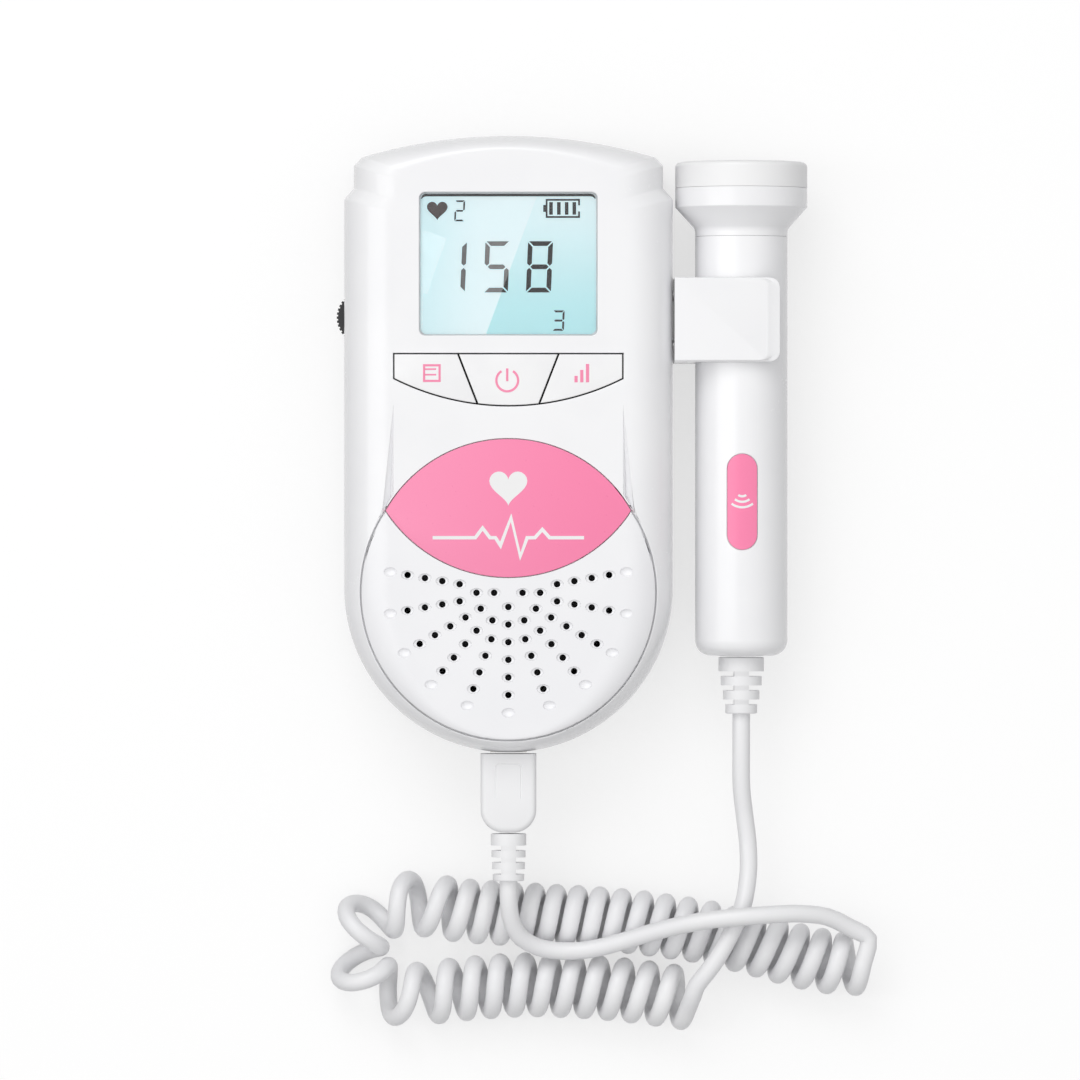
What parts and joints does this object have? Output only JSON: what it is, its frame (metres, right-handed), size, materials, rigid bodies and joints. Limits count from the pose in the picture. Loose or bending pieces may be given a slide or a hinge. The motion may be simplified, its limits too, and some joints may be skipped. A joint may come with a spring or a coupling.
{
  "type": "fetal doppler",
  "caption": "Pocket fetal doppler: main unit with display, keys and round speaker grille, with an ultrasound probe in a side clip on a curly lead.",
  "frame": {"origin": "on the main unit's back face, midway between its two ends and its two sides", "axes": "+Z out of the face with the display, +Y towards the end above the display, +X towards the side with the probe clip"},
  "size_m": [0.1199, 0.1966, 0.0334],
  "materials": {
    "housing_white": "polished white",
    "key_white": "satin white",
    "label_pink": "smooth pink film",
    "window_clear": "polished clear acrylic",
    "display_glass": "polished",
    "backlight_white": "diffusing",
    "board_green": "solder mask",
    "plastic_black": "moulded",
    "cloth_black": "woven",
    "speaker_steel": "pressed",
    "cone_paper": "paper",
    "contact_metal": "nickel plated",
    "cell_wrap": "plain wrap",
    "screw_steel": "zinc plated",
    "plug_white": "satin white",
    "relief_white": "soft satin",
    "cord_white": "soft satin",
    "face_white": "smooth",
    "crystal_ceramic": "silvered ceramic",
    "backing_black": "cast"
  },
  "bodies": {
    "main_unit": {"front_shell": "housing_white", "back_shell": "housing_white", "grille_panel": "housing_white", "label_plate": "label_pink", "lcd_window": "window_clear", "lcd_module": "display_glass", "lcd_backlight": "backlight_white", "main_board": "board_green", "switch_menu": "plastic_black", "switch_power": "plastic_black", "switch_mode": "plastic_black", "speaker_cloth": "cloth_black", "speaker_basket": "speaker_steel", "speaker_cone": "cone_paper", "speaker_magnet": "speaker_steel", "volume_potentiometer": "plastic_black", "headphone_jack": "plastic_black", "probe_socket": "contact_metal", "battery_1": "cell_wrap", "battery_2": "cell_wrap", "battery_bridge": "contact_metal", "battery_contact_positive": "contact_metal", "battery_contact_negative": "contact_metal", "battery_spring_lower": "contact_metal", "battery_spring_upper": "contact_metal", "case_screw_1": "screw_steel", "case_screw_2": "screw_steel", "case_screw_3": "screw_steel", "case_screw_4": "screw_steel", "clip_screw_1": "screw_steel", "clip_screw_2": "screw_steel", "probe_clip": "housing_white", "plug_lead": "cord_white", "curly_cord": "cord_white", "probe_lead": "cord_white"},
    "menu_key": {"key_menu": "key_white"},
    "power_key": {"key_power": "key_white"},
    "mode_key": {"key_mode": "key_white"},
    "wheel": {"volume_wheel": "plastic_black"},
    "cover": {"battery_cover": "housing_white"},
    "plug": {"plug_shell": "plug_white", "plug_tongue": "contact_metal", "plug_relief": "relief_white"},
    "probe": {"probe_handle": "housing_white", "probe_label": "label_pink", "probe_horn": "housing_white", "probe_face": "face_white", "crystal_transmit": "crystal_ceramic", "crystal_receive": "crystal_ceramic", "transducer_backing": "backing_black", "probe_board": "board_green", "probe_relief": "relief_white"}
  },
  "joints": [
    {"name": "menu_key_press", "type": "slide", "parent": "main_unit", "child": "menu_key", "axis": [0, 0, -1], "range_m": [0, 0.0006], "stiffness_N_per_m": 300, "springref_m": -0.003},
    {"name": "power_key_press", "type": "slide", "parent": "main_unit", "child": "power_key", "axis": [0, 0, -1], "range_m": [0, 0.0006], "stiffness_N_per_m": 300, "springref_m": -0.003},
    {"name": "mode_key_press", "type": "slide", "parent": "main_unit", "child": "mode_key", "axis": [0, 0, -1], "range_m": [0, 0.0006], "stiffness_N_per_m": 300, "springref_m": -0.003},
    {"name": "volume_turn", "type": "hinge", "parent": "main_unit", "child": "wheel", "pos_m": [-0.03185, 0.0278, 0.0182], "axis": [0, 0, 1], "range_deg": [-135, 135]},
    {"name": "cover_slide", "type": "slide", "parent": "main_unit", "child": "cover", "axis": [0, -1, 0], "range_m": [0, 0.01]},
    {"name": "plug_pull", "type": "slide", "parent": "main_unit", "child": "plug", "axis": [0, -1, 0], "range_m": [0, 0.0075], "deforming": ["plug_lead"]},
    {"name": "probe_unclip", "type": "slide", "parent": "main_unit", "child": "probe", "axis": [1, 0, 0], "range_m": [0, 0.024], "deforming": ["probe_lead"]}
  ]
}
